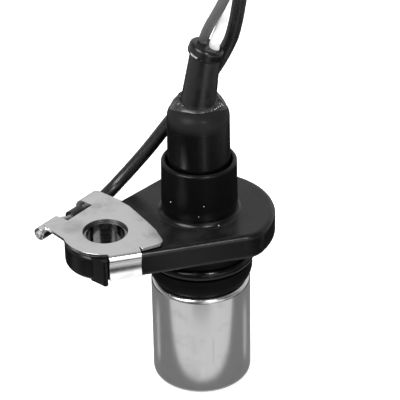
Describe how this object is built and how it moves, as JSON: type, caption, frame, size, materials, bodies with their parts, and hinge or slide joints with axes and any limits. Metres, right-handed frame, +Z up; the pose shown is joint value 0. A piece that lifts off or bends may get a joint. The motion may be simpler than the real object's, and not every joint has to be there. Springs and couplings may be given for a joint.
{
  "type": "crankshaft position sensor",
  "caption": "Inductive crankshaft position sensor: steel can, black flanged body with a bolt ear, ground clip, cable boot and leads to a connector.",
  "frame": {"origin": "centre of the flat sensing face at the can's foot", "axes": "+Z up the can's axis towards the nozzle, -X towards the bolt ear"},
  "size_m": [0.0966, 0.0501, 0.1109],
  "materials": {
    "can_steel": "satin drawn steel",
    "body_plastic": "satin black moulding",
    "seal_rubber": "oiled rubber",
    "sleeve_steel": "turned steel",
    "clip_plate": "bright plated sheet",
    "strand_metal": "tinned copper strands",
    "boot_plastic": "satin black moulding",
    "nozzle_rubber": "soft black rubber",
    "sealant": "shiny sealing compound",
    "grey_insulation": "satin wire insulation",
    "white_insulation": "satin wire insulation",
    "black_insulation": "satin wire insulation",
    "pole_iron": "turned iron",
    "magnet_alloy": "ground magnet",
    "bobbin_plastic": "natural moulding",
    "winding_copper": "enamelled copper",
    "coil_tape": "film tape",
    "contact_brass": "drawn brass",
    "potting_resin": "cast resin",
    "plug_plastic": "satin black moulding",
    "plug_seal_rubber": "soft rubber",
    "lock_plastic": "natural moulding"
  },
  "bodies": {
    "root": {"sensor_can": "can_steel", "housing": "body_plastic", "o_ring": "seal_rubber", "bolt_sleeve": "sleeve_steel", "ground_clip": "clip_plate", "ground_strands": "strand_metal", "boot": "boot_plastic", "nozzle": "nozzle_rubber", "nozzle_sealant": "sealant", "lead_grey": "grey_insulation", "lead_white": "white_insulation", "lead_black": "black_insulation", "pole_piece": "pole_iron", "magnet": "magnet_alloy", "coil_bobbin": "bobbin_plastic", "coil_winding": "winding_copper", "coil_tape": "coil_tape", "pin_grey": "contact_brass", "pin_white": "contact_brass", "splice_grey": "contact_brass", "splice_white": "contact_brass", "tail_grey": "grey_insulation", "tail_white": "white_insulation", "potting": "potting_resin", "plug_housing": "plug_plastic", "plug_terminals": "contact_brass", "plug_seals": "plug_seal_rubber", "plug_lock": "lock_plastic"}
  },
  "joints": []
}
